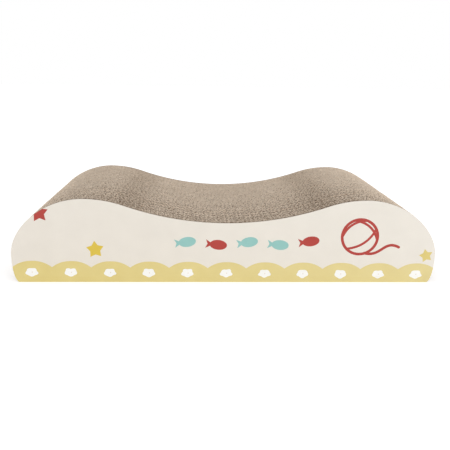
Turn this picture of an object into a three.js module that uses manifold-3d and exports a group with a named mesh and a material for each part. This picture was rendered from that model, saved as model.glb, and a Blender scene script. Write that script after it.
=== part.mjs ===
// Sofa-shaped cat scratcher: a glued stack of die-cut corrugated sheets with a wave-shaped
// top, closed at the front and at the back by a stiff side board and a printed face sheet.
// Millimetres, +Z up. X runs along the length, Y through the stack from the front to the
// back, and the origin is the centre of the underside.
import * as THREE from 'three';
import { mergeVertices } from 'three/addons/utils/BufferGeometryUtils.js';
import Module from 'manifold-3d';

const wasm = await Module();
wasm.setup();

// Driving dimensions of the outline that every layer is cut to
const LENGTH = 440; // overall, at the widest point of the rounded ends
const CREST_HEIGHT = 88; // top of the two humps
const CREST_INSET = 74.5; // each hump's top, in from the end
const CREST_RADIUS = 125; // flank of each hump on the side of the saddle
const SADDLE_DEPTH = 24.5; // middle of the saddle, below the humps
const SHOULDER_REACH = 39; // level run of each hump towards its end
const SHOULDER_DROP = 29.5; // upright run of each end towards its hump
const END_HEIGHT = 29; // widest point of each end
const END_TUCK = 7; // flat underside, in from the widest point
const CORNER_RISE = 9; // upright run of each end towards the underside
const CORNER_REACH = 3; // level run of the underside towards each end
const SADDLE_HEIGHT = CREST_HEIGHT - SADDLE_DEPTH;

// Straight steps along each curve of half the outline
const CORNER_STEPS = 3;
const SHOULDER_STEPS = 7;
const CREST_STEPS = 3;
const SADDLE_STEPS = 4;

// Driving dimensions of the stack
const DEPTH = 220; // overall, made up to the nearest whole sheet
const SHEET_THICKNESS = 4.9; // single-wall board with large flutes
const LINER_THICKNESS = 0.3; // flat paper on both sides of a sheet
const FLUTE_RELIEF = 3; // hollow between the liners, in from the cut edge
const BOARD_THICKNESS = 2; // stiff grey board on each side
const FACE_THICKNESS = 0.35; // printed card glued over each board
const GLUE_LINE = 0.1; // between any two layers

// Finishes, as the photograph shows them
const KRAFT = { color: 0xb7a792, roughness: 0.92, metalness: 0 };
const GREY_BOARD = { color: 0xa89e90, roughness: 0.9, metalness: 0 };
const PRINTED_CARD = { color: 0xebe4d8, roughness: 0.62, metalness: 0 };

// The saddle is one arc that runs tangent into an arc on each hump. Both turn through the
// same angle, so their radii add up to a sum that the saddle's width and depth set.
function waveArcs() {
  const crestX = LENGTH / 2 - CREST_INSET;
  const radiusSum = (crestX ** 2 + SADDLE_DEPTH ** 2) / (2 * SADDLE_DEPTH);
  const saddleRadius = radiusSum - CREST_RADIUS;
  const sweep = Math.asin(crestX / radiusSum);
  return { crestX, saddleRadius, sweep };
}

// Right half of the outline, seen from the front: from the end of the underside up over the
// hump to just short of the middle of the saddle. Each curve starts where the last one ends,
// so it leaves its own last point to the next one.
function rightHalf() {
  const { crestX, saddleRadius, sweep } = waveArcs();
  const endX = LENGTH / 2;
  const baseX = endX - END_TUCK;
  const saddleCentreZ = SADDLE_HEIGHT + saddleRadius;
  const up = Math.PI / 2;
  const at = (x, z) => new THREE.Vector2(x, z);
  const arc = (x, z, radius, from, to, clockwise) =>
    new THREE.EllipseCurve(x, z, radius, radius, from, to, clockwise);
  const corner = new THREE.CubicBezierCurve(
    at(baseX, 0),
    at(baseX + CORNER_REACH, 0),
    at(endX, CORNER_RISE),
    at(endX, END_HEIGHT),
  );
  const shoulder = new THREE.CubicBezierCurve(
    at(endX, END_HEIGHT),
    at(endX, END_HEIGHT + SHOULDER_DROP),
    at(crestX + SHOULDER_REACH, CREST_HEIGHT),
    at(crestX, CREST_HEIGHT),
  );
  const crest = arc(crestX, CREST_HEIGHT - CREST_RADIUS, CREST_RADIUS, up, up + sweep, false);
  const saddle = arc(0, saddleCentreZ, saddleRadius, -up + sweep, -up, true);
  const curves = [
    [corner, CORNER_STEPS],
    [shoulder, SHOULDER_STEPS],
    [crest, CREST_STEPS],
    [saddle, SADDLE_STEPS],
  ];
  return curves.flatMap(([curve, steps]) => curve.getPoints(steps).slice(0, -1));
}

// Outline of every layer, counter-clockwise from the right end of the underside.
function layerOutline() {
  const right = rightHalf();
  const middle = new THREE.Vector2(0, SADDLE_HEIGHT);
  const left = right.map((point) => new THREE.Vector2(-point.x, point.y)).reverse();
  return [...right, middle, ...left];
}

// An outline drawn in by a margin all round, apart from its flat underside.
function drawnIn(outline, margin) {
  const last = outline.length - 1;
  return outline.map((point, index) => {
    if (index === 0 || index === last) {
      return new THREE.Vector2(point.x - Math.sign(point.x) * margin, point.y);
    }
    const along = outline[index + 1].clone().sub(outline[index - 1]).normalize();
    return new THREE.Vector2(point.x - margin * along.y, point.y + margin * along.x);
  });
}

// A flat slab with its front face at a depth.
function slabGeometry(outline, thickness, frontY) {
  const shape = new THREE.Shape(outline);
  const geometry = new THREE.ExtrudeGeometry(shape, { depth: thickness, bevelEnabled: false });
  geometry.rotateX(Math.PI / 2);
  geometry.translate(0, frontY + thickness, 0);
  return geometry;
}

// The closed solid of a geometry, ready to be joined to others.
function solidOf(geometry) {
  geometry.deleteAttribute('normal');
  geometry.deleteAttribute('uv');
  const merged = mergeVertices(geometry);
  const vertProperties = new Float32Array(merged.getAttribute('position').array);
  const triVerts = new Uint32Array(merged.index.array);
  return new wasm.Manifold(new wasm.Mesh({ numProp: 3, vertProperties, triVerts }));
}

// The geometry of a solid, with a normal for each flat face.
function geometryOf(solid) {
  const { vertProperties, triVerts } = solid.getMesh();
  const geometry = new THREE.BufferGeometry();
  geometry.setAttribute('position', new THREE.BufferAttribute(vertProperties, 3));
  geometry.setIndex(new THREE.BufferAttribute(triVerts, 1));
  const faceted = geometry.toNonIndexed();
  faceted.computeVertexNormals();
  return faceted;
}

// A corrugated sheet: two liners cut to the outline, and the fluted layer between them, which
// stops short of the cut edge and so leaves the edge hollow between the liners.
function sheetGeometry(outline) {
  const inLiner = LINER_THICKNESS / 2;
  const flutes = drawnIn(outline, FLUTE_RELIEF);
  const front = solidOf(slabGeometry(outline, LINER_THICKNESS, 0));
  const middle = solidOf(slabGeometry(flutes, SHEET_THICKNESS - 2 * inLiner, inLiner));
  const back = solidOf(slabGeometry(outline, LINER_THICKNESS, SHEET_THICKNESS - LINER_THICKNESS));
  return geometryOf(front.add(middle).add(back));
}

// Whole sheets that fill the depth between the two sides, with a glue line around each.
function sheetCount() {
  const sides = 2 * (FACE_THICKNESS + GLUE_LINE + BOARD_THICKNESS);
  return Math.round((DEPTH - sides - GLUE_LINE) / (SHEET_THICKNESS + GLUE_LINE));
}

// The layers from the front to the back.
function stackLayers() {
  const outline = layerOutline();
  const slab = (name, thickness, finish) => ({
    name, thickness, finish, geometry: slabGeometry(outline, thickness, 0),
  });
  const face = (side) => slab(`${side}_face_sheet`, FACE_THICKNESS, PRINTED_CARD);
  const board = (side) => slab(`${side}_side_board`, BOARD_THICKNESS, GREY_BOARD);
  const core = Array.from({ length: sheetCount() }, (_, index) => ({
    name: `core_sheet_${String(index + 1).padStart(2, '0')}`,
    thickness: SHEET_THICKNESS,
    finish: KRAFT,
    geometry: sheetGeometry(outline),
  }));
  return [face('front'), board('front'), ...core, board('back'), face('back')];
}

function buildScratcher() {
  const layers = stackLayers();
  const material = layers.reduce((sum, layer) => sum + layer.thickness, 0);
  const depth = material + (layers.length - 1) * GLUE_LINE;
  const scratcher = new THREE.Group();
  let frontY = -depth / 2;
  for (const { name, thickness, finish, geometry } of layers) {
    const mesh = new THREE.Mesh(geometry, new THREE.MeshStandardMaterial(finish));
    mesh.name = name;
    mesh.position.y = frontY;
    scratcher.add(mesh);
    frontY += thickness + GLUE_LINE;
  }
  return scratcher;
}

export default buildScratcher();
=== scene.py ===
"""Dresses a sofa-shaped cat scratcher: fluted core sheets, side boards and printed faces."""

import logging
import math
import random
from dataclasses import dataclass, field
from enum import Enum, IntEnum

import bpy
import numpy as np
from mathutils import Matrix, Vector
from mathutils.geometry import delaunay_2d_cdt


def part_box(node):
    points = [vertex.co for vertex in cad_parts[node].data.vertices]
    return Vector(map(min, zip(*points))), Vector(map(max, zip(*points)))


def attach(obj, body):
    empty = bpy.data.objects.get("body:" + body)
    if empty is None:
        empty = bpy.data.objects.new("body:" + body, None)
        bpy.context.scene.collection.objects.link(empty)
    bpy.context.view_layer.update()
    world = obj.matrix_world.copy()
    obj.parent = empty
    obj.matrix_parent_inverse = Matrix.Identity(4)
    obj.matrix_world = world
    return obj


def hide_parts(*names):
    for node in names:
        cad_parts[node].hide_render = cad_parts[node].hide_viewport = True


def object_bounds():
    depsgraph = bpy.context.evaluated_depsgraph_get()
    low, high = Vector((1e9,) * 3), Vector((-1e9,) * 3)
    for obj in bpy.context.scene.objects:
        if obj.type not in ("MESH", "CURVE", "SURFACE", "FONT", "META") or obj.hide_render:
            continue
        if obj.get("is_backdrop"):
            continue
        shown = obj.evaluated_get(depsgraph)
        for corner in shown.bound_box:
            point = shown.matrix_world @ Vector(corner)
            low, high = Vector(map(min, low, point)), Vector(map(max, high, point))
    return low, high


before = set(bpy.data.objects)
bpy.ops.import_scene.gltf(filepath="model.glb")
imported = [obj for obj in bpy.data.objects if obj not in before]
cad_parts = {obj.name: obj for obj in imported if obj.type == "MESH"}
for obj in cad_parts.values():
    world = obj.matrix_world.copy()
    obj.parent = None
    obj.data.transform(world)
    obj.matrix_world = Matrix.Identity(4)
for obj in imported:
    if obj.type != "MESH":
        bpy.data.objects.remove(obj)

LOG = logging.getLogger("scratcher")

MM = 0.001
ROOT_BODY = "root"
PHOTO_PIXELS = 450
CORE_SHEETS = sorted(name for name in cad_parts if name.startswith("core_sheet_"))
SHEET_PITCH = 5.0 * MM

Range = tuple[float, float]
Point = tuple[float, float]
Polygon = list[Point]
Place = tuple[float, float, float]
Face = tuple[int, ...]
Colour = tuple[float, float, float, float]
Socket = bpy.types.NodeSocket
Sockets = bpy.types.bpy_prop_collection

WHITE: Colour = (1.0, 1.0, 1.0, 1.0)


def srgb(red: int, green: int, blue: int) -> Colour:
    """Turn a colour of 0 to 255 a channel into linear light.

    Args:
        red: Red channel.
        green: Green channel.
        blue: Blue channel.

    Returns:
        The linear colour, with alpha 1.
    """

    def linear(channel: int) -> float:
        """Undo the display curve of one channel."""
        share = channel / 255
        return share / 12.92 if share <= 0.04045 else ((share + 0.055) / 1.055) ** 2.4

    return linear(red), linear(green), linear(blue), 1.0


# Shader helpers and shared effects


class MixSocket(IntEnum):
    """The numbers of a Mix node's sockets when it mixes colours."""

    SHARE = 0
    FIRST = 6
    SECOND = 7
    RESULT = 2


class NodeSketch:
    """Adds and links the nodes of one shader tree."""

    def __init__(self, tree: bpy.types.NodeTree) -> None:
        """Start from an existing tree."""
        self.tree = tree

    def add(
        self, kind: str, values: dict[str | int, object] | None = None, **settings: object
    ) -> bpy.types.Node:
        """Add a node.

        Args:
            kind: The node's type name, without its ShaderNode prefix.
            values: Input sockets to set or to link, by name or by number.
            **settings: Properties of the node.

        Returns:
            The new node.
        """
        node = self.tree.nodes.new(kind if kind.startswith("Node") else "ShaderNode" + kind)
        for name, value in settings.items():
            setattr(node, name, value)
        for name, value in (values or {}).items():
            self.feed(node.inputs[name], value)
        return node

    def feed(self, socket: Socket, value: object) -> None:
        """Link a socket to another one, or set its own value.

        Args:
            socket: The input socket.
            value: An output socket, or a plain value.
        """
        if isinstance(value, Socket):
            self.tree.links.new(value, socket)
        else:
            socket.default_value = value

    def axis(self, vector: Socket, name: str) -> Socket:
        """Give one component of a vector."""
        return self.add("SeparateXYZ", {0: vector}).outputs[name]

    def math(self, operation: str, first: object, second: object = 0.0) -> Socket:
        """Work out one operation on sockets or numbers."""
        return self.add("Math", {0: first, 1: second}, operation=operation).outputs[0]

    def spread(
        self, value: Socket, source: Range = (0.0, 1.0), target: Range = (0.0, 1.0), ease: str = "LINEAR"
    ) -> Socket:
        """Map one range of a value onto another, held at both ends.

        Args:
            value: The value.
            source: Start and end of its range.
            target: Results at the start and at the end.
            ease: The way from one end to the other.

        Returns:
            The result.
        """
        node = self.add("MapRange", clamp=True, interpolation_type=ease)
        for socket, number in zip(node.inputs, (value, *source, *target)):
            self.feed(socket, number)
        return node.outputs["Result"]

    def mix(self, share: object, first: object, second: object) -> Socket:
        """Mix a share of the second colour into the first."""
        values = {MixSocket.SHARE: share, MixSocket.FIRST: first, MixSocket.SECOND: second}
        return self.add("Mix", values, data_type="RGBA").outputs[MixSocket.RESULT]


class EffectGroup:
    """A shader node group that turns a place on the part into tones and masks, built once."""

    def __init__(self, name: str, values: dict[str, float], results: tuple[str, ...]) -> None:
        """Make the empty group.

        Args:
            name: The group's name.
            values: The numbers that the group takes besides the place, each with its usual value.
            results: The numbers that the group gives.
        """
        self.tree = bpy.data.node_groups.new(name, "ShaderNodeTree")
        sockets = self.tree.interface
        sockets.new_socket("Vector", in_out="INPUT", socket_type="NodeSocketVector")
        for title, value in values.items():
            socket = sockets.new_socket(title, in_out="INPUT", socket_type="NodeSocketFloat")
            socket.default_value = value
        for title in results:
            sockets.new_socket(title, in_out="OUTPUT", socket_type="NodeSocketFloat")
        self.sketch = NodeSketch(self.tree)
        self.source = self.sketch.add("NodeGroupInput").outputs
        self.target = self.sketch.add("NodeGroupOutput").inputs

    def along(self, axis: str) -> Socket:
        """Give the place along one axis of the part's frame."""
        return self.sketch.axis(self.source["Vector"], axis)

    def noise(self, scale: str, detail: float) -> Socket:
        """Add a cloudy noise with one of the group's scales."""
        values = {"Vector": self.source["Vector"], "Scale": self.source[scale], "Detail": detail}
        return self.sketch.add("TexNoise", values).outputs["Fac"]

    def give(self, result: str, value: Socket) -> None:
        """Put out one of the group's numbers."""
        self.sketch.feed(self.target[result], value)


def paper_fibre_group() -> EffectGroup:
    """Build the clouds, the mottle, the fine grain and the flecks of recycled paper.

    Returns:
        A group with the outputs Tone, Flecks and Height, each from 0 to 1.
    """
    faint_cloud = (0.1, 0.9)
    tone_range = (1.1, 1.9)
    fleck_edge = (0.08, 0.2)
    rare_fleck = (0.56, 0.66)
    scales = {"Cloud Scale": 60.0, "Mottle Scale": 420.0, "Grain Scale": 1500.0, "Fleck Scale": 420.0}
    group = EffectGroup("paper_fibre", scales, ("Tone", "Flecks", "Height"))
    s = group.sketch
    cloud = s.spread(group.noise("Cloud Scale", detail=3.0), target=faint_cloud)
    grain = group.noise("Grain Scale", detail=2.0)
    coarse = s.math("ADD", group.noise("Mottle Scale", detail=1.0), cloud)
    cells = {"Vector": group.source["Vector"], "Scale": group.source["Fleck Scale"]}
    apart = s.add("TexVoronoi", cells).outputs["Distance"]
    speck = s.spread(apart, fleck_edge, (1.0, 0.0))
    chosen = s.spread(group.noise("Fleck Scale", detail=0.0), rare_fleck)
    group.give("Tone", s.spread(s.math("ADD", coarse, grain), tone_range))
    group.give("Flecks", s.math("MULTIPLY", speck, chosen))
    group.give("Height", grain)
    return group


def stack_tone_group() -> EffectGroup:
    """Build a tone that steps from one sheet of the stack to the next.

    Returns:
        A group with the output Tone, from 0 to 1.
    """
    group = EffectGroup("stack_tone", {"Sheet Pitch": SHEET_PITCH}, ("Tone",))
    s = group.sketch
    sheet = s.math("FLOOR", s.math("DIVIDE", group.along("Y"), group.source["Sheet Pitch"]))
    chance = s.add("TexWhiteNoise", {"W": sheet}, noise_dimensions="1D")
    group.give("Tone", chance.outputs["Value"])
    return group


def painted_flank_shade_group() -> EffectGroup:
    """Build a mask of the saddle's flanks, where the kraft is painted darker as painted shade.

    Returns:
        A group with the output Mask, from 0 to 1.
    """
    group = EffectGroup("painted_flank_shade", {"Flank": 100 * MM, "Reach": 33 * MM}, ("Mask",))
    s = group.sketch
    away = s.math("SUBTRACT", s.math("ABSOLUTE", group.along("X")), group.source["Flank"])
    share = s.math("DIVIDE", s.math("ABSOLUTE", away), group.source["Reach"])
    group.give("Mask", s.spread(share, target=(1.0, 0.0), ease="SMOOTHSTEP"))
    return group


def painted_light_side_group() -> EffectGroup:
    """Build a painted light gradient along the length: the right end is painted lighter than the left.

    Returns:
        A group with the output Mask, from 0 at the left end to 1 at the right end.
    """
    group = EffectGroup("painted_light_side", {"Reach": 220 * MM}, ("Mask",))
    s = group.sketch
    share = s.math("DIVIDE", group.along("X"), group.source["Reach"])
    group.give("Mask", s.spread(share, (-1.0, 1.0)))
    return group


def ink_lay_group() -> EffectGroup:
    """Build the faint clouds and pinholes of ink laid on coated card.

    Returns:
        A group with the outputs Cloud, Pinholes and Height, each from 0 to 1.
    """
    cloud_edge = (0.3, 0.7)
    pinhole_edge = (0.68, 0.8)
    scales = {"Cloud Scale": 45.0, "Tooth Scale": 2600.0}
    group = EffectGroup("ink_lay", scales, ("Cloud", "Pinholes", "Height"))
    s = group.sketch
    tooth = group.noise("Tooth Scale", detail=2.0)
    group.give("Cloud", s.spread(group.noise("Cloud Scale", detail=4.0), cloud_edge))
    group.give("Pinholes", s.spread(tooth, pinhole_edge))
    group.give("Height", tooth)
    return group


@dataclass(frozen=True)
class SharedEffects:
    """The node groups that several finishes use."""

    fibre: EffectGroup = field(default_factory=paper_fibre_group)
    stack: EffectGroup = field(default_factory=stack_tone_group)
    # painted shade on the saddle's flanks
    painted_flank: EffectGroup = field(default_factory=painted_flank_shade_group)
    # painted light: the right end of the kraft and of the print painted lighter than the left
    fade: EffectGroup = field(default_factory=painted_light_side_group)
    ink: EffectGroup = field(default_factory=ink_lay_group)


# Finishes


@dataclass(frozen=True)
class Touch:
    """How a finish feels: its fine relief, its roughness and how much it shines."""

    bump: float
    bump_depth: float
    roughness: Range
    specular: float


class MaterialSketch(NodeSketch):
    """The tree of one new material, with its Principled shader."""

    def __init__(self, name: str) -> None:
        """Start a material with its shader and the place of each point in the part's frame.

        Args:
            name: The material's name.
        """
        self.material = bpy.data.materials.new(name)
        self.material.use_nodes = True
        super().__init__(self.material.node_tree)
        self.shader = self.tree.nodes["Principled BSDF"]
        self.place = self.add("TexCoord").outputs["Object"]

    def effect(self, group: EffectGroup, values: dict[str, float] | None = None) -> Sockets:
        """Place a shared effect, with those of its numbers that aren't the usual ones."""
        inputs = {"Vector": self.place, **(values or {})}
        return self.add("Group", inputs, node_tree=group.tree).outputs

    def dress(self, colour: Socket, tone: Socket, height: Socket, touch: Touch) -> bpy.types.Material:
        """Feed the shader.

        Args:
            colour: The finish's colour.
            tone: The tone that the roughness follows.
            height: The height of the fine relief.
            touch: How the finish feels.

        Returns:
            The finished material.
        """
        relief = {"Strength": touch.bump, "Distance": touch.bump_depth, "Height": height}
        inputs = self.shader.inputs
        inputs["Specular IOR Level"].default_value = touch.specular
        self.feed(inputs["Base Color"], colour)
        self.feed(inputs["Roughness"], self.spread(tone, target=touch.roughness))
        self.feed(inputs["Normal"], self.add("Bump", relief).outputs["Normal"])
        return self.material


KRAFT_TOUCH = Touch(bump=0.25, bump_depth=0.1 * MM, roughness=(0.82, 0.96), specular=0.06)
BOARD_TOUCH = Touch(bump=0.3, bump_depth=0.1 * MM, roughness=(0.8, 0.95), specular=0.5)
INK_TOUCH = Touch(bump=0.12, bump_depth=0.05 * MM, roughness=(0.5, 0.62), specular=0.35)
CARD_RIM_TOUCH = Touch(bump=0.12, bump_depth=0.05 * MM, roughness=(0.75, 0.9), specular=0.35)


@dataclass(frozen=True)
class KraftFinish:
    """Brown kraft paper with painted light and shade: a liner or the fluted medium painted dark as the
    shade inside the flutes, or the cut edge painted pale as the lit top; all painted darker on the
    saddle's flanks and lighter towards the right end.
    """

    name: str
    pale: Colour
    deep: Colour
    fleck: Colour
    fleck_share: float = 0.5
    sheet_share: float = 0.1
    painted_flank_share: float = 0.21
    fade: float = 0.2

    def material(self, effects: SharedEffects) -> bpy.types.Material:
        """Build the paper's material.

        Args:
            effects: The shared node groups.

        Returns:
            The material.
        """
        s = MaterialSketch(self.name)
        fibre = s.effect(effects.fibre)
        # Painted light: the paper is painted darker towards the left end and paler towards the right.
        painted_light_shift = s.spread(s.effect(effects.fade)["Mask"], target=(-self.fade, self.fade))
        paper = s.mix(s.math("ADD", fibre["Tone"], painted_light_shift), self.deep, self.pale)
        sheet = s.math("MULTIPLY", s.effect(effects.stack)["Tone"], self.sheet_share)
        layered = s.mix(sheet, paper, self.deep)
        # Painted shade: the saddle's flanks are mixed towards the fleck colour.
        painted_flank_mix = s.math("MULTIPLY", s.effect(effects.painted_flank)["Mask"], self.painted_flank_share)
        shaded = s.mix(painted_flank_mix, layered, self.fleck)
        specks = s.math("MULTIPLY", fibre["Flecks"], self.fleck_share)
        return s.dress(s.mix(specks, shaded, self.fleck), fibre["Tone"], fibre["Height"], KRAFT_TOUCH)


@dataclass(frozen=True)
class GreyBoardFinish:
    """Stiff recycled board, with the fine lines of its plies on the cut edge."""

    name: str
    pale: Colour
    deep: Colour
    fleck: Colour
    fleck_scale: float = 700.0
    fleck_share: float = 0.6
    ply: float = 0.25 * MM
    ply_share: float = 0.4

    def material(self, effects: SharedEffects) -> bpy.types.Material:
        """Build the board's material.

        Args:
            effects: The shared node groups.

        Returns:
            The material.
        """
        s = MaterialSketch(self.name)
        fibre = s.effect(effects.fibre, {"Fleck Scale": self.fleck_scale})
        turn = s.math("MULTIPLY", s.axis(s.place, "Y"), 2 * math.pi / self.ply)
        lines = s.spread(s.math("SINE", turn), (-1.0, 1.0), (0.0, self.ply_share))
        body = s.mix(lines, s.mix(fibre["Tone"], self.deep, self.pale), self.deep)
        specks = s.math("MULTIPLY", fibre["Flecks"], self.fleck_share)
        return s.dress(s.mix(specks, body, self.fleck), fibre["Tone"], fibre["Height"], BOARD_TOUCH)


@dataclass(frozen=True)
class PrintFinish:
    """One colour of the printed card: the card's own tint or an ink."""

    name: str
    colour: Colour
    cloud: Colour
    show_through: Colour
    fade: float = 0.0
    touch: Touch = INK_TOUCH
    hole_share: float = 0.35

    def material(self, effects: SharedEffects) -> bpy.types.Material:
        """Build the print's material.

        Args:
            effects: The shared node groups.

        Returns:
            The material.
        """
        s = MaterialSketch(self.name)
        ink = s.effect(effects.ink)
        fresh = s.mix(ink["Cloud"], self.colour, self.cloud)
        # Painted light: the print is painted paler towards the right end.
        painted_light_shift = s.math("MULTIPLY", s.effect(effects.fade)["Mask"], self.fade)
        body = s.mix(painted_light_shift, fresh, self.show_through)
        holes = s.math("MULTIPLY", ink["Pinholes"], self.hole_share)
        return s.dress(s.mix(holes, body, self.show_through), ink["Cloud"], ink["Height"], self.touch)


# Painted shade: these dark browns stand in for the shade inside the flutes, below the pale rim.
FLUTE_SHADE_PALE = srgb(142, 110, 84)
FLUTE_SHADE_DEEP = srgb(113, 84, 61)
FLUTE_SHADE_FLECK = srgb(78, 57, 42)
CARD_WHITE = srgb(246, 243, 236)
CARD_CORE = srgb(196, 184, 168)


class Paper(Enum):
    """The unprinted papers and boards."""

    # Painted shade: the liners and the medium below the pale rim.
    LINER = KraftFinish("liner_painted_shade", FLUTE_SHADE_PALE, FLUTE_SHADE_DEEP, FLUTE_SHADE_FLECK)
    MEDIUM = KraftFinish("medium_painted_shade", FLUTE_SHADE_PALE, FLUTE_SHADE_DEEP, FLUTE_SHADE_FLECK)
    # Painted highlight: the cut edge is painted far paler than the kraft, as the lit top of the cut.
    CUT_EDGE_PAINTED_LIGHT = KraftFinish(
        "kraft_cut_edge_painted_light", srgb(248, 231, 211), srgb(224, 207, 187), srgb(150, 126, 102), fleck_share=0.35
    )
    BOARD = GreyBoardFinish("grey_board", srgb(166, 150, 132), srgb(136, 120, 103), srgb(92, 80, 70))


class Ink(Enum):
    """The colours of the printed card."""

    # Painted light: the cream card and the honey ink are painted paler towards the right end.
    CREAM = PrintFinish("card_cream", srgb(236, 229, 218), srgb(232, 225, 214), CARD_WHITE, fade=0.2)
    RIM = PrintFinish(
        "card_rim", srgb(228, 220, 207), srgb(216, 207, 193), CARD_CORE, touch=CARD_RIM_TOUCH
    )
    HONEY = PrintFinish(
        "ink_honey", srgb(228, 210, 140), srgb(223, 204, 132), srgb(240, 230, 190), fade=0.25
    )
    WHITE = PrintFinish("ink_white", srgb(253, 253, 251), srgb(249, 249, 246), CARD_WHITE)
    BEIGE = PrintFinish("ink_beige", srgb(236, 224, 208), srgb(231, 218, 201), CARD_WHITE)
    GOLD = PrintFinish("ink_gold", srgb(225, 197, 77), srgb(220, 191, 71), srgb(236, 220, 142))
    PALE_GOLD = PrintFinish(
        "ink_pale_gold", srgb(226, 206, 128), srgb(221, 200, 120), srgb(240, 228, 180)
    )
    RED = PrintFinish("ink_red", srgb(182, 68, 60), srgb(175, 62, 54), srgb(208, 128, 118))
    TEAL = PrintFinish("ink_teal", srgb(153, 202, 196), srgb(146, 196, 190), srgb(200, 226, 220))


class Palette:
    """Every finish's material, made once."""

    def __init__(self, effects: SharedEffects) -> None:
        """Build all the materials."""
        self.made = {finish: finish.value.material(effects) for finish in [*Paper, *Ink]}

    def __getitem__(self, finish: Paper | Ink) -> bpy.types.Material:
        """Give a finish's material."""
        return self.made[finish]


# Meshes


class MeshPlan:
    """Collects the vertices and faces of one piece, each face with its finish."""

    def __init__(self) -> None:
        """Start empty."""
        self.points: list[Place] = []
        self.faces: list[Face] = []
        self.finishes: list[Paper | Ink] = []

    def add(self, points: list[Place], faces: list[Face], finishes: list[Paper | Ink]) -> None:
        """Add one closed body.

        Args:
            points: The body's vertices.
            faces: The body's faces, as indices into its own vertices.
            finishes: One finish for each face.
        """
        start = len(self.points)
        self.points.extend(points)
        self.faces.extend(tuple(start + index for index in face) for face in faces)
        self.finishes.extend(finishes)

    def piece(self, name: str, palette: Palette, smooth_below: float | None = None) -> bpy.types.Object:
        """Turn the plan into an object.

        Args:
            name: The piece's name.
            palette: The materials.
            smooth_below: Edges that turn by less than this many degrees are shaded smooth.

        Returns:
            The new object.
        """
        mesh = bpy.data.meshes.new(name)
        mesh.from_pydata(self.points, [], self.faces)
        used = list(dict.fromkeys(self.finishes))
        for finish in used:
            mesh.materials.append(palette[finish])
        slots = {finish: index for index, finish in enumerate(used)}
        mesh.polygons.foreach_set("material_index", [slots[finish] for finish in self.finishes])
        if smooth_below is not None:
            mesh.polygons.foreach_set("use_smooth", [True] * len(mesh.polygons))
            mesh.set_sharp_from_angle(angle=math.radians(smooth_below))
        mesh.validate()
        mesh.update()
        piece = bpy.data.objects.new(name, mesh)
        bpy.context.scene.collection.objects.link(piece)
        return piece


def fix_to_frame(piece: bpy.types.Object, slot: str, *nodes: str) -> None:
    """Let a piece ride on the part, and hide the nodes that it stands for.

    Args:
        piece: The piece.
        slot: Not used.
        *nodes: The nodes that the piece replaces, if any.
    """
    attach(piece, ROOT_BODY)
    if nodes:
        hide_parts(*nodes)
    replaced = ", ".join(nodes) or "nothing"
    LOG.info("%s: %d faces, replaces %s", piece.name, len(piece.data.polygons), replaced)


# The outline that every layer is cut to


def bezier(handles: tuple[Point, Point, Point, Point], steps: int) -> np.ndarray:
    """Sample a cubic curve.

    Args:
        handles: Where the curve starts, its two handles and where it ends.
        steps: Number of steps.

    Returns:
        The points, one more than the steps.
    """
    t = np.linspace(0.0, 1.0, steps + 1)[:, None]
    weights = [(1 - t) ** 3, 3 * (1 - t) ** 2 * t, 3 * (1 - t) * t**2, t**3]
    return sum(weight * np.array(handle) for weight, handle in zip(weights, handles))


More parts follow.
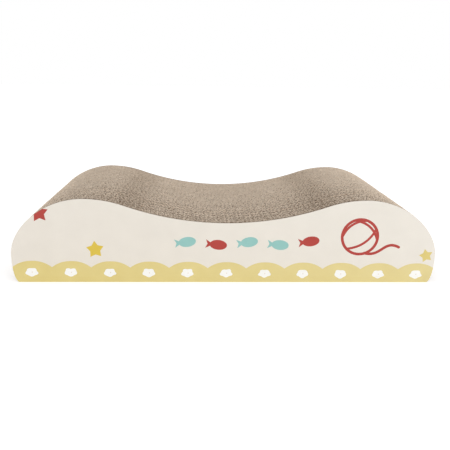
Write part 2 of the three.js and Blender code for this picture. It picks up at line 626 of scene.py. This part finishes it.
@dataclass
class WaveOutline:
    """The wave outline of every layer, symmetrical about the middle, in metres."""

    length: float
    crest_height: float
    crest_inset: float = 74.5 * MM
    crest_radius: float = 125 * MM
    saddle_depth: float = 24.5 * MM
    shoulder_reach: float = 39 * MM
    shoulder_drop: float = 29.5 * MM
    end_height: float = 29 * MM
    end_tuck: float = 7 * MM
    corner_rise: float = 9 * MM
    corner_reach: float = 3 * MM
    curve_steps: int = 240
    slope_reach: float = 0.5 * MM
    lower: np.ndarray = field(init=False, repr=False)
    upper: np.ndarray = field(init=False, repr=False)

    def __post_init__(self) -> None:
        """Sample the lower and the upper edge of the right half, from the widest point inwards."""
        end_x = self.length / 2
        base_x = end_x - self.end_tuck
        crest_x = end_x - self.crest_inset
        radius_sum = (crest_x**2 + self.saddle_depth**2) / (2 * self.saddle_depth)
        saddle_radius = radius_sum - self.crest_radius
        sweep = math.asin(crest_x / radius_sum)
        widest = (end_x, self.end_height)
        corner = (widest, (end_x, self.corner_rise), (base_x + self.corner_reach, 0.0), (base_x, 0.0))
        shoulder = (
            widest,
            (end_x, self.end_height + self.shoulder_drop),
            (crest_x + self.shoulder_reach, self.crest_height),
            (crest_x, self.crest_height),
        )
        turn = np.linspace(0.0, sweep, self.curve_steps + 1)
        crest_x_run = crest_x - self.crest_radius * np.sin(turn)
        crest_z_run = self.crest_height - self.crest_radius * (1 - np.cos(turn))
        saddle_x_run = saddle_radius * np.sin(turn[::-1])
        saddle_z_run = self.crest_height - self.saddle_depth + saddle_radius * (1 - np.cos(turn[::-1]))
        crest = np.column_stack([crest_x_run, crest_z_run])
        saddle = np.column_stack([saddle_x_run, saddle_z_run])
        self.lower = bezier(corner, self.curve_steps)
        self.upper = np.concatenate([bezier(shoulder, self.curve_steps), crest[1:], saddle[1:]])

    def top(self, x: np.ndarray) -> np.ndarray:
        """Give the height of the upper edge at each x."""
        return np.interp(np.abs(x), self.upper[::-1, 0], self.upper[::-1, 1])

    def fall(self, x: np.ndarray) -> np.ndarray:
        """Give how steeply the upper edge falls inwards at each x, negative on the shoulders."""
        ahead, behind = np.abs(x) + self.slope_reach, np.abs(x) - self.slope_reach
        return (self.top(ahead) - self.top(behind)) / (2 * self.slope_reach)

    def bottom(self, x: np.ndarray) -> np.ndarray:
        """Give the height of the lower edge at each x."""
        return np.interp(np.abs(x), self.lower[::-1, 0], self.lower[::-1, 1], left=0.0)

    def columns(self, count: int) -> np.ndarray:
        """Spread x values over the length, closer together towards the upright ends.

        Args:
            count: Number of values.

        Returns:
            The values, from just inside the left end to just inside the right end.
        """
        turn = np.linspace(-math.pi / 2, math.pi / 2, count + 2)[1:-1]
        return self.length / 2 * np.sin(turn)

    def loop(self, stride: int = 8) -> Polygon:
        """Give the whole outline, counter-clockwise from the right end of the underside.

        Args:
            stride: Every how many of the sampled points is kept.

        Returns:
            The outline's points.
        """
        right = np.concatenate([self.lower[::-1][:-1:stride], self.upper[:-1:stride]])
        middle = [(0.0, float(self.upper[-1, 1]))]
        left = [(-x, z) for x, z in right[::-1].tolist()]
        return [tuple(point) for point in right.tolist()] + middle + left


# The corrugated core


@dataclass(frozen=True)
class FluteSizes:
    """The corrugated board's own sizes, and the columns that its fluted medium is drawn with."""

    pitch: float = 9.24 * MM
    liner: float = 0.4 * MM
    medium: float = 0.34 * MM
    steps: int = 12
    end_columns: tuple[float, ...] = (0.5 * MM, 0.25 * MM, 0.1 * MM, 0.03 * MM)
    digits: int = 7


@dataclass(frozen=True)
class CutEdge:
    """How far a sheet's cut edge strays from the outline, and the pale rim along the cut, a painted
    highlight on the lit top edge.
    """

    sheet: float = 0.08 * MM
    slip: float = 0.2 * MM
    stretch: float = 0.007
    cell: float = 3.0 * MM
    crush: float = 0.04 * MM
    fray: float = 0.05 * MM
    least_height: float = 0.2 * MM
    rim: float = 0.22 * MM
    painted_light_rim_growth: float = 0.86 * MM
    rim_cell: float = 0.1 * MM
    rim_stray: float = 0.36 * MM
    least_rim: float = 0.05 * MM
    # Painted shade: the pale rim is painted shorter where the outline falls into the saddle.
    painted_flank_rim_loss: float = 0.12
    painted_flank_full_fall: float = 0.35


@dataclass
class CorrugatedSheet:
    """One sheet of the core: two liners and the fluted medium between them.

    The depth share runs from 0 at the front sheet to 1 at the back one, and the painted pale rim grows
    with it, painting the back of the stack lighter.
    """

    front_y: float
    back_y: float
    outline: WaveOutline
    phase: float
    chance: np.random.Generator
    depth_share: float
    flute: FluteSizes = FluteSizes()
    edge: CutEdge = CutEdge()
    liner_columns: int = 560
    mesh: MeshPlan = field(default_factory=MeshPlan, init=False)

    def __post_init__(self) -> None:
        """Draw the sheet's own small errors of cutting and gluing."""
        self.offset = self.chance.normal(0.0, self.edge.sheet)
        self.slip = self.chance.normal(0.0, self.edge.slip)
        self.pitch = self.flute.pitch * (1 + self.chance.normal(0.0, self.edge.stretch))

    def tufts(self, count: int, amount: float) -> np.ndarray:
        """Draw a stray that swings from one column to the next, as tufts and nicks alternate.

        A draw less the mean of its two neighbours varies 1.5 times as much, which is taken out again.

        Args:
            count: Number of columns.
            amount: The usual size of the stray.

        Returns:
            The stray at each column.
        """
        drawn = self.chance.normal(0.0, amount, count + 2)
        return (drawn[1:-1] - (drawn[:-2] + drawn[2:]) / 2) / math.sqrt(1.5)

    def by_cell(self, x: np.ndarray, amount: float) -> np.ndarray:
        """Draw a stray that changes over the few millimetres of a cell.

        Args:
            x: The columns' places along the length.
            amount: The usual size of the stray.

        Returns:
            The stray at each x.
        """
        reach = self.outline.length / 2
        knots = np.arange(-reach, reach + self.edge.cell, self.edge.cell)
        return np.interp(x, knots, self.tufts(len(knots), amount))

    def heights(self, x: np.ndarray) -> tuple[np.ndarray, np.ndarray, np.ndarray]:
        """Give the cut edges at each x.

        Args:
            x: The columns' places along the length.

        Returns:
            The lower heights, the upper heights on the front and on the back face, and the
            heights where the painted pale rim ends.
        """
        edge = self.edge
        low = self.outline.bottom(x)
        high = self.outline.top(x) + self.offset + self.by_cell(x, edge.crush)
        fray = self.chance.normal(0.0, edge.fray, (len(x), 2))
        both = np.maximum(high[:, None] + fray, low[:, None] + edge.least_height)
        # Painted shade: the steeper the fall into the saddle, the shorter the painted pale rim.
        painted_flank = np.clip(self.outline.fall(x) / edge.painted_flank_full_fall, 0.0, 1.0) ** 2
        # Painted light: the pale rim is painted taller towards the back of the stack.
        rim = (edge.rim + edge.painted_light_rim_growth * self.depth_share) * (1 - edge.painted_flank_rim_loss * painted_flank)
        rim += self.by_cell(x, edge.rim_cell) + self.tufts(len(x), edge.rim_stray)
        cut = both.min(axis=1)
        return low, both, np.clip(cut - rim, low + edge.least_rim, cut - edge.least_rim)

    def add_wall(self, x: np.ndarray, front: np.ndarray, back: np.ndarray, paper: Paper) -> None:
        """Add one upright wall of paper, column by column.

        Args:
            x: The columns' places along the outline.
            front: The x and y of each column on the wall's front face.
            back: The x and y of each column on the wall's back face.
            paper: The finish below the painted pale rim.
        """
        low, high, painted_rim_line = self.heights(x)
        edges = [
            (front, low),
            (front, painted_rim_line),
            (front, high[:, 0]),
            (back, high[:, 1]),
            (back, painted_rim_line),
            (back, low),
        ]
        rows = [np.column_stack([place, height]) for place, height in edges]
        points = [tuple(point) for point in np.stack(rows, axis=1).reshape(-1, 3).tolist()]
        # Painted highlight: the pale finish on the rim, the top, the underside and the ends.
        rim = Paper.CUT_EDGE_PAINTED_LIGHT
        around = [paper, rim, rim, rim, paper, rim]
        size = len(rows)
        last = len(points) - size
        faces: list[Face] = []
        for here in range(0, last, size):
            there = here + size
            for side in range(size):
                after = (side + 1) % size
                faces.append((here + side, there + side, there + after, here + after))
        faces.append(tuple(range(size)))
        faces.append(tuple(range(last + size - 1, last - 1, -1)))
        self.mesh.add(points, faces, around * (len(x) - 1) + [rim, rim])

    def add_liner(self, front_y: float) -> None:
        """Add one flat liner.

        Args:
            front_y: Where the liner's front face is.
        """
        x = self.outline.columns(self.liner_columns)
        front = np.column_stack([x + self.slip, np.full_like(x, front_y)])
        self.add_wall(x, front, front + np.array([0.0, self.flute.liner]), Paper.LINER)

    def add_medium(self) -> None:
        """Add the fluted medium, whose crests meet both liners."""
        flute = self.flute
        reach = self.outline.length / 2
        step = flute.pitch / flute.steps
        inner = np.arange(-reach + step, reach - step / 2, step)
        ends = reach - np.array(flute.end_columns)
        x = np.unique(np.round(np.concatenate([-ends, inner, ends]), flute.digits))
        room = self.back_y - self.front_y - 2 * flute.liner
        swing = (room - flute.medium) / 2
        wave = 2 * math.pi * (x / self.pitch + self.phase)
        middle = (self.front_y + self.back_y) / 2 + swing * np.sin(wave)
        slope = swing * 2 * math.pi / self.pitch * np.cos(wave)
        normal = np.column_stack([-slope, np.ones_like(slope)]) / np.hypot(slope, 1.0)[:, None]
        centre = np.column_stack([x + self.slip, middle])
        half = flute.medium / 2
        self.add_wall(x, centre - half * normal, centre + half * normal, Paper.MEDIUM)

    def build(self) -> MeshPlan:
        """Build the liners and the medium, from the front to the back.

        Returns:
            The sheet's plan.
        """
        self.add_liner(self.front_y)
        self.add_medium()
        self.add_liner(self.back_y - self.flute.liner)
        return self.mesh


@dataclass
class Core:
    """The glued stack of corrugated sheets, laid by turns from a few piles of blanks."""

    outline: WaveOutline
    palette: Palette
    piles: int = 2
    pile_seed: int = 5
    fresh_pile: float = 0.1
    drift: float = 0.06
    turned_blank: tuple[float, float] = (0.0, 0.5)
    first_seed: int = 7000
    smooth_below: float = 40.0

    def phases(self) -> list[float]:
        """Draw where each sheet's flutes start.

        Sheets of one pile run nearly in step, or half a pitch off where a blank was turned round,
        until a fresh pile is begun.

        Returns:
            One phase for each sheet, in flute pitches.
        """
        draw = random.Random(self.pile_seed)
        piles = [draw.random() for _ in range(self.piles)]
        phases = []
        for index in range(len(CORE_SHEETS)):
            pile = index % self.piles
            if draw.random() < self.fresh_pile:
                piles[pile] = draw.random()
            else:
                piles[pile] += draw.choice(self.turned_blank) + draw.gauss(0.0, self.drift)
            phases.append(piles[pile])
        return phases

    def build(self) -> None:
        """Build every sheet in place of its node."""
        last = len(CORE_SHEETS) - 1
        for index, (node, phase) in enumerate(zip(CORE_SHEETS, self.phases())):
            low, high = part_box(node)
            chance = np.random.default_rng(self.first_seed + index)
            sheet = CorrugatedSheet(low.y, high.y, self.outline, phase, chance, index / last)
            name = node.replace("core_", "fluted_")
            piece = sheet.build().piece(name, self.palette, self.smooth_below)
            fix_to_frame(piece, "kraft_corrugated", node)


# The drawings on the side panels


JOINT_STEPS = 16


def turned(point: Point, tilt: float, centre: Point) -> Point:
    """Turn a point of a drawing and move the drawing to its place.

    Args:
        point: The point, from the drawing's middle.
        tilt: How far the drawing is turned to the left, in degrees.
        centre: Where the drawing's middle goes.

    Returns:
        The point's place.
    """
    x, z = point
    along, across = math.cos(math.radians(tilt)), math.sin(math.radians(tilt))
    return centre[0] + x * along - z * across, centre[1] + x * across + z * along


def ellipse(centre: Point, half: Point, steps: int, tilt: float = 0.0) -> Polygon:
    """Draw an ellipse.

    Args:
        centre: The ellipse's middle.
        half: Half its width and half its height.
        steps: Number of corners.
        tilt: How far it is turned to the left, in degrees.

    Returns:
        The ellipse's outline.
    """
    turns = [2 * math.pi * index / steps for index in range(steps)]
    level = [(half[0] * math.cos(turn), half[1] * math.sin(turn)) for turn in turns]
    return [turned(point, tilt, centre) for point in level]


def stroke(points: Polygon, width: float) -> list[Polygon]:
    """Draw a line with round joints as one quadrilateral a step and one disc a joint.

    Args:
        points: The line's points.
        width: The line's width.

    Returns:
        The outlines, which overlap at the joints.
    """
    half = width / 2
    outlines = [ellipse(point, (half, half), JOINT_STEPS) for point in points]
    for (x0, z0), (x1, z1) in zip(points, points[1:]):
        run = math.hypot(x1 - x0, z1 - z0)
        dx, dz = -(z1 - z0) / run * half, (x1 - x0) / run * half
        right = [(x0 - dx, z0 - dz), (x1 - dx, z1 - dz)]
        left = [(x1 + dx, z1 + dz), (x0 + dx, z0 + dz)]
        outlines.append(right + left)
    return outlines


@dataclass(frozen=True)
class Star:
    """A star with a waist: its inner corners' reach, as a share of the tips'."""

    centre: Point
    radius: float
    waist: float
    tilt: float
    tips: int = 5

    def outline(self) -> Polygon:
        """Draw the star.

        Returns:
            The star's outline, from the upper tip to the left.
        """
        step = 180 / self.tips
        reaches = [self.radius, self.radius * self.waist] * self.tips
        turns = [self.tilt + step * index for index in range(len(reaches))]
        return [turned((0.0, reach), turn, self.centre) for reach, turn in zip(reaches, turns)]


@dataclass(frozen=True)
class Flower:
    """A small squat flower of five blunt petals: two on top, one at each side and one below."""

    half: Point = (6.1 * MM, 4.5 * MM)
    lobe: float = 0.09
    stray: float = 0.075
    eye: Point = (0.45 * MM, 0.8 * MM)
    eye_shift: float = 0.5 * MM
    petals: int = 5
    steps: int = 60
    eye_steps: int = 14

    def outline(self, centre: Point, draw: random.Random) -> Polygon:
        """Draw the petals, a little uneven as if cut by hand.

        Args:
            centre: The flower's middle.
            draw: The source of the unevenness.

        Returns:
            The flower's outline.
        """
        reaches = []
        for _ in range(self.petals):
            reaches.append(1 + self.lobe + draw.uniform(-self.stray, self.stray))
            reaches.append(1 - self.lobe + draw.uniform(-self.stray, self.stray))
        points = []
        for index in range(self.steps):
            turn = 2 * math.pi * index / self.steps
            place = index * len(reaches) / self.steps
            before = int(place)
            share = (1 - math.cos(math.pi * (place - before))) / 2
            reach = (1 - share) * reaches[before] + share * reaches[(before + 1) % len(reaches)]
            x, z = reach * self.half[0] * math.sin(turn), -reach * self.half[1] * math.cos(turn)
            points.append((centre[0] + x, centre[1] + z))
        return points

    def eye_outline(self, centre: Point) -> Polygon:
        """Draw the small dot beside the flower's middle."""
        return ellipse((centre[0] + self.eye_shift, centre[1]), self.eye, self.eye_steps)


@dataclass(frozen=True)
class ScallopBorder:
    """The scalloped band along the underside, with a flower in each scallop."""

    pitch: float = 40.1 * MM
    peak: float = 21.9 * MM
    depth: float = 6.7 * MM
    fullness: float = 2.3
    shift: float = 1.3 * MM
    flower_height: float = 9.7 * MM
    flower_shift: float = 0.45 * MM
    slant: float = -0.3
    count: int = 11
    steps: int = 24
    overhang: float = 3 * MM

    def centres(self) -> list[float]:
        """Give the scallops' middles along the length, before the border's shift."""
        return [(index - (self.count - 1) / 2) * self.pitch for index in range(self.count)]

    def slanted(self, x: float, z: float) -> Point:
        """Lean a point with the print, which was glued on a little askew."""
        return x, z + x * math.tan(math.radians(self.slant))

    def flower_places(self) -> list[Point]:
        """Give the flowers' middles."""
        return [self.slanted(x + self.flower_shift, self.flower_height) for x in self.centres()]

    def band(self) -> Polygon:
        """Draw the band, which runs past the panel's edge and is trimmed to it.

        Returns:
            The band's outline.
        """
        half = self.count * self.pitch / 2
        outer = half + self.overhang
        valley = self.peak - self.depth
        points = [(-outer, -self.overhang), (outer, -self.overhang), self.slanted(outer, valley)]
        for middle in reversed(self.centres()):
            for index in range(self.steps):
                share = 1 - 2 * index / self.steps
                x = middle + self.shift + share * self.pitch / 2
                points.append(self.slanted(x, self.peak - self.depth * abs(share) ** self.fullness))
        return points + [self.slanted(self.shift - half, valley), self.slanted(-outer, valley)]


@dataclass(frozen=True)
class Fish:
    """A plain little fish that swims to the right, and upwards by its tilt."""

    centre: Point
    tilt: float
    half: Point = (9.0 * MM, 5.3 * MM)
    tail: float = 5.8 * MM
    tail_place: float = 0.82
    tail_spread: float = 0.86
    tail_notch: float = 0.34
    joint: Point = (0.8 * MM, 0.9 * MM)
    steps: int = 28

    def outlines(self) -> list[Polygon]:
        """Draw the body and the tail.

        Returns:
            The outlines, which overlap where the tail joins the body.
        """
        root = -self.half[0] * self.tail_place
        tip = root - self.tail
        spread = self.half[1] * self.tail_spread
        level = [
            (root + self.joint[0], self.joint[1]),
            (tip, spread),
            (tip + self.tail * self.tail_notch, 0.0),
            (tip, -spread),
            (root + self.joint[0], -self.joint[1]),
        ]
        body = ellipse(self.centre, self.half, self.steps, self.tilt)
        return [body, [turned(point, self.tilt, self.centre) for point in level]]


@dataclass(frozen=True)
class YarnBall:
    """A line drawing of a ball of yarn with a loose end.

    Each wrap is a direction in degrees and a distance from the middle. That distance, the bow and
    the start of the loose end are shares of the radius.
    """

    centre: Point = (139 * MM, 49.5 * MM)
    radius: float = 18.6 * MM
    line: float = 2.9 * MM
    wraps: tuple[tuple[float, float], ...] = ((35.0, 0.55), (35.0, -0.15), (-40.0, 0.5))
    wrap_line: float = 0.86
    bow: float = 0.28
    end_start: Point = (0.3, -0.94)
    end_run: tuple[Point, Point, Point, Point] = (
        (0.0, 0.0),
        (18 * MM, -5 * MM),
        (20 * MM, 15 * MM),
        (36 * MM, 6.5 * MM),
    )
    ring_steps: int = 48
    wrap_steps: int = 14
    end_steps: int = 22

    def ring(self) -> list[Polygon]:
        """Draw the ball's rim."""
        points = ellipse(self.centre, (self.radius, self.radius), self.ring_steps)
        return stroke([*points, points[0]], self.line)

    def wrap(self, lean: float, offset: float) -> list[Polygon]:
        """Draw one curved wrap of yarn from rim to rim.

        Args:
            lean: Direction of the wrap, in degrees.
            offset: The wrap's distance from the middle, as a share of the radius.

        Returns:
            The wrap's outlines.
        """
        half = math.sqrt(1 - offset**2) * self.radius
        points = []
        for index in range(self.wrap_steps + 1):
            share = 2 * index / self.wrap_steps - 1
            away = offset + math.copysign(self.bow, offset) * (1 - share**2)
            points.append(turned((half * share, away * self.radius), lean, self.centre))
        return stroke(points, self.line * self.wrap_line)

    def loose_end(self) -> list[Polygon]:
        """Draw the yarn that trails off to the right.

        Returns:
            The loose end's outlines.
        """
        start = np.array(self.centre) + self.radius * np.array(self.end_start)
        run = start + bezier(self.end_run, self.end_steps)
        return stroke([tuple(point) for point in run.tolist()], self.line)

    def outlines(self) -> list[Polygon]:
        """Draw the whole ball.

        Returns:
            The outlines, which overlap where lines meet.
        """
        drawn = self.ring() + self.loose_end()
        for lean, offset in self.wraps:
            drawn += self.wrap(lean, offset)
        return drawn


@dataclass(frozen=True)
class InkLayer:
    """One film of ink: its colour, what it covers and how many films lie under it."""

    name: str
    ink: Ink
    outlines: list[Polygon]
    level: int = 0


@dataclass(frozen=True)
class PanelPrint:
    """The whole print of a side panel, as it is seen from outside."""

    border: ScallopBorder = ScallopBorder()
    flower: Flower = Flower()
    yarn: YarnBall = YarnBall()
    gold_star: Star = Star((-134.4 * MM, 35.2 * MM), 9.3 * MM, waist=0.58, tilt=4.0)
    pale_star: Star = Star((210.4 * MM, 29.3 * MM), 7.5 * MM, waist=0.56, tilt=14.0)
    red_star: Star = Star((-189.4 * MM, 73.3 * MM), 9.9 * MM, waist=0.54, tilt=4.3)
    teal_fish: tuple[Fish, ...] = (
        Fish((-40 * MM, 43.5 * MM), tilt=8.0),
        Fish((24 * MM, 43.5 * MM), tilt=9.0),
        Fish((56 * MM, 40.5 * MM), tilt=-5.0),
    )
    red_fish: tuple[Fish, ...] = (
        Fish((-8 * MM, 40.5 * MM), tilt=-6.0),
        Fish((88 * MM, 44.5 * MM), tilt=8.0),
    )
    seed: int = 11

    def layers(self) -> list[InkLayer]:
        """Draw the films of ink.

        Returns:
            The films, each one after those that it lies on.
        """
        draw = random.Random(self.seed)
        middles = self.border.flower_places()
        petals = [self.flower.outline(middle, draw) for middle in middles]
        eyes = [self.flower.eye_outline(middle) for middle in middles]
        teal_fish = [outline for fish in self.teal_fish for outline in fish.outlines()]
        red_fish = [outline for fish in self.red_fish for outline in fish.outlines()]
        return [
            InkLayer("ink_border", Ink.HONEY, [self.border.band()]),
            InkLayer("ink_flowers", Ink.WHITE, petals, level=1),
            InkLayer("ink_flower_eyes", Ink.BEIGE, eyes, level=2),
            InkLayer("ink_gold_star", Ink.GOLD, [self.gold_star.outline()]),
            InkLayer("ink_pale_star", Ink.PALE_GOLD, [self.pale_star.outline()]),
            InkLayer("ink_red_star", Ink.RED, [self.red_star.outline()]),
            InkLayer("ink_teal_fish", Ink.TEAL, teal_fish),
            InkLayer("ink_red_fish", Ink.RED, red_fish),
            InkLayer("ink_yarn", Ink.RED, self.yarn.outlines()),
        ]


def film_triangles(outlines: list[Polygon], trim: Polygon) -> tuple[Polygon, list[Face]]:
    """Join overlapping outlines into one film and trim it to the panel, worked out in millimetres.

    Args:
        outlines: The outlines.
        trim: The panel's outline.

    Returns:
        The film's points and its triangles, counter-clockwise.
    """
    inside_only, merged_within = 1, 1e-4
    places: list[Vector] = []
    faces: list[list[int]] = []
    for outline in [trim, *outlines]:
        start = len(places)
        places.extend(Vector((x / MM, z / MM)) for x, z in outline)
        faces.append(list(range(start, len(places))))
    joined = delaunay_2d_cdt(places, [], faces, inside_only, merged_within, True)
    points, triangles, sources = joined[0], joined[2], joined[5]
    kept = [
        triangle
        for triangle, source in zip(triangles, sources)
        if 0 in source and any(index > 0 for index in source)
    ]
    used = sorted({index for triangle in kept for index in triangle})
    order = {index: place for place, index in enumerate(used)}
    film = [(points[index].x * MM, points[index].y * MM) for index in used]
    return film, [tuple(order[index] for index in triangle) for triangle in kept]


# The side panels


class Side(Enum):
    """The two printed sides, with the way that each one faces along Y."""

    FRONT = -1
    BACK = 1


@dataclass
class SidePanel:
    """A stiff side board and the printed card that covers it."""

    side: Side
    outline: WaveOutline
    palette: Palette
    design: PanelPrint = PanelPrint()
    card: float = 0.2 * MM
    film: float = 0.04 * MM
    rim: float = 0.08 * MM

    def __post_init__(self) -> None:
        """Find the panel's outline, and its planes in the frame."""
        board_low, board_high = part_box(self.named("side_board"))
        face_low, face_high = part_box(self.named("face_sheet"))
        front = self.side is Side.FRONT
        self.loop = self.outline.loop()
        self.board_inner = board_high.y if front else board_low.y
        self.board_outer = board_low.y if front else board_high.y
        self.card_inner = face_high.y if front else face_low.y
        self.card_outer = self.card_inner + self.side.value * self.card

    def named(self, kind: str) -> str:
        """Name one of this side's nodes or pieces."""
        return f"{self.side.name.lower()}_{kind}"

    def place(self, point: Point, y: float) -> Place:
        """Put a point of the drawing at a depth of the panel, so that it reads from outside."""
        return -self.side.value * point[0], y, point[1]

    def slab(self, outer: float, inner: float, face: Paper | Ink, edge: Paper | Ink) -> MeshPlan:
        """Build a flat layer with a small chamfer round its outer face.

        Args:
            outer: Depth of the outer face.
            inner: Depth of the inner face.
            face: Finish of the faces.
            edge: Finish of the cut edge.

        Returns:
            The layer's plan.
        """
        ring = np.array(self.loop)
        along = np.roll(ring, -1, axis=0) - np.roll(ring, 1, axis=0)
        inward = np.column_stack([-along[:, 1], along[:, 0]]) / np.linalg.norm(along, axis=1)[:, None]
        inset = (ring + inward * self.rim).tolist()
        shoulder = outer - self.side.value * self.rim
        levels = [(inset, outer), (self.loop, shoulder), (self.loop, inner)]
        points = [self.place(point, y) for outline, y in levels for point in outline]
        count = len(self.loop)
        faces: list[Face] = [tuple(range(count)), tuple(range(3 * count - 1, 2 * count - 1, -1))]
        for here in (0, count):
            there = here + count
            for index in range(count):
                after = (index + 1) % count
                faces.append((here + index, there + index, there + after, here + after))
        plan = MeshPlan()
        plan.add(points, faces, [face, face] + [edge] * (2 * count))
        return plan

    def film_piece(self, layer: InkLayer) -> bpy.types.Object:
        """Lay one film of ink on the card.

        Args:
            layer: The film.

        Returns:
            The film's piece.
        """
        flat, triangles = film_triangles(layer.outlines, self.loop)
        count = len(flat)
        thickness = self.side.value * self.film
        under = self.card_outer + thickness * layer.level
        points = [self.place(point, y) for y in (under + thickness, under) for point in flat]
        faces = list(triangles)
        faces += [tuple(count + index for index in reversed(triangle)) for triangle in triangles]
        edges = {(triangle[end - 1], triangle[end]) for triangle in triangles for end in range(3)}
        faces += [(b, a, count + a, count + b) for a, b in sorted(edges) if (b, a) not in edges]
        plan = MeshPlan()
        plan.add(points, faces, [layer.ink] * len(faces))
        return plan.piece(self.named(layer.name), self.palette)

    def build(self) -> None:
        """Build the board, the card and the print."""
        board = self.slab(self.board_outer, self.board_inner, Paper.BOARD, Paper.BOARD)
        piece = board.piece(self.named("grey_board"), self.palette)
        fix_to_frame(piece, "grey_board", self.named("side_board"))
        card = self.slab(self.card_outer, self.card_inner, Ink.CREAM, Ink.RIM)
        piece = card.piece(self.named("printed_card"), self.palette)
        fix_to_frame(piece, "printed_card", self.named("face_sheet"))
        for layer in self.design.layers():
            fix_to_frame(self.film_piece(layer), "printed_card")


# The studio


@dataclass(frozen=True)
class SoftLight:
    """A square light that hangs beside the object and looks at it."""

    name: str
    place: Place
    power: float
    size: float = 0.4
    aim: Place = (0.0, 0.0, 0.04)

    def build(self) -> None:
        """Hang the light."""
        lamp = bpy.data.lights.new(self.name, "AREA")
        lamp.shape = "SQUARE"
        lamp.size = self.size
        lamp.energy = self.power
        light = bpy.data.objects.new(self.name, lamp)
        light.location = self.place
        sight = Vector(self.aim) - Vector(self.place)
        light.rotation_euler = sight.to_track_quat("-Z", "Y").to_euler()
        bpy.context.scene.collection.objects.link(light)


@dataclass
class Studio:
    """The pale floor, the soft lights and the camera at the photograph's angle."""

    footprint: tuple[Vector, Vector]
    lens_pixels: float = 624.2
    sensor: float = 36.0
    pitch: float = 14.279
    yaw: float = 2.436
    roll: float = 0.847
    camera_place: Place = (-0.02773, -0.72870, 0.21932)
    clip_start: float = 0.01
    world_strength: float = 0.79
    floor_size: float = 12.0
    floor_white: Colour = (0.92, 0.92, 0.92, 1.0)
    floor_glow: float = 0.4
    footprint_inset: float = 10 * MM
    lights: tuple[SoftLight, ...] = (
        SoftLight("front_left", (-0.9, -1.6, 0.22), power=2.7),
        SoftLight("front_right", (1.0, -1.5, 0.22), power=4.9),
        SoftLight("back_left", (-0.9, 1.6, 0.22), power=4.0),
        SoftLight("back_right", (0.9, 1.6, 0.22), power=4.0),
    )

    def seen_directly(self, s: NodeSketch) -> Socket:
        """Tell rays that show the background from rays that light the object.

        Args:
            s: The tree of the background's material.

        Returns:
            A value of 1 for rays that show the background.
        """
        path = s.add("LightPath").outputs
        straight = s.math("MAXIMUM", path["Is Camera Ray"], path["Is Glossy Ray"])
        return s.math("MAXIMUM", straight, path["Is Transmission Ray"])

    def beside_object(self, s: NodeSketch) -> Socket:
        """Tell the open floor from the floor that the object stands on.

        Args:
            s: The tree of the floor's material.

        Returns:
            A value of 1 on the open floor.
        """
        place = s.add("TexCoord").outputs["Object"]
        outside = []
        for axis, half in zip("XY", self.footprint[1]):
            away = s.math("ABSOLUTE", s.axis(place, axis))
            outside.append(s.math("GREATER_THAN", away, half - self.footprint_inset))
        return s.math("MAXIMUM", *outside)

    def build_world(self) -> None:
        """Make a plain white surround."""
        world = bpy.data.worlds.new("soft_surround")
        world.use_nodes = True
        s = NodeSketch(world.node_tree)
        background = world.node_tree.nodes["Background"]
        background.inputs["Color"].default_value = WHITE
        shown = s.spread(self.seen_directly(s), target=(self.world_strength, 1.0))
        s.feed(background.inputs["Strength"], shown)
        bpy.context.scene.world = world

    def build_floor(self) -> None:
        """Make a white floor that still takes the object's shadow."""
        mesh = bpy.data.meshes.new("floor")
        half = self.floor_size / 2
        square = [(-half, -half, 0.0), (half, -half, 0.0), (half, half, 0.0), (-half, half, 0.0)]
        mesh.from_pydata(square, [], [(0, 1, 2, 3)])
        floor = bpy.data.objects.new("floor", mesh)
        bpy.context.scene.collection.objects.link(floor)
        material = bpy.data.materials.new("floor_white")
        material.use_nodes = True
        nodes = material.node_tree.nodes
        s = NodeSketch(material.node_tree)
        nodes.remove(nodes["Principled BSDF"])
        matte = s.add("BsdfDiffuse", {"Color": self.floor_white})
        glow = s.add("Emission", {"Color": WHITE})
        open_floor = s.math("MULTIPLY", self.seen_directly(s), self.beside_object(s))
        s.feed(glow.inputs["Strength"], s.math("MULTIPLY", open_floor, self.floor_glow))
        both = s.add("AddShader", {0: matte.outputs[0], 1: glow.outputs[0]})
        s.feed(nodes["Material Output"].inputs["Surface"], both.outputs[0])
        mesh.materials.append(material)
        floor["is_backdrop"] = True

    def build_camera(self) -> None:
        """Put the camera where the photograph was taken from."""
        pitch, yaw, roll = (math.radians(angle) for angle in (self.pitch, self.yaw, self.roll))
        level = math.cos(pitch)
        forward = Vector((math.sin(yaw) * level, math.cos(yaw) * level, -math.sin(pitch)))
        right = Vector((math.cos(yaw), -math.sin(yaw), 0.0))
        down = forward.cross(right)
        rolled_right = math.cos(roll) * right - math.sin(roll) * down
        rolled_down = math.sin(roll) * right + math.cos(roll) * down
        axes = Matrix((rolled_right, -rolled_down, -forward)).transposed()
        data = bpy.data.cameras.new("camera")
        data.sensor_width = self.sensor
        data.lens = self.sensor * self.lens_pixels / PHOTO_PIXELS
        data.clip_start = self.clip_start
        camera = bpy.data.objects.new("camera", data)
        camera.matrix_world = Matrix.Translation(self.camera_place) @ axes.to_4x4()
        bpy.context.scene.collection.objects.link(camera)
        bpy.context.scene.camera = camera

    def build(self) -> None:
        """Build the whole studio."""
        bpy.context.scene.view_settings.view_transform = "Standard"
        self.build_camera()
        self.build_world()
        self.build_floor()
        for light in self.lights:
            light.build()


def main() -> None:
    """Build the studio and every piece."""
    logging.basicConfig(level=logging.INFO, format="%(name)s: %(message)s")
    cad_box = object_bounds()
    studio = Studio(cad_box)
    studio.build()
    palette = Palette(SharedEffects())
    low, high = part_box(CORE_SHEETS[0])
    outline = WaveOutline(length=high.x - low.x, crest_height=high.z)
    Core(outline, palette).build()
    for side in Side:
        SidePanel(side, outline, palette).build()


if __name__ == "__main__":
    main()
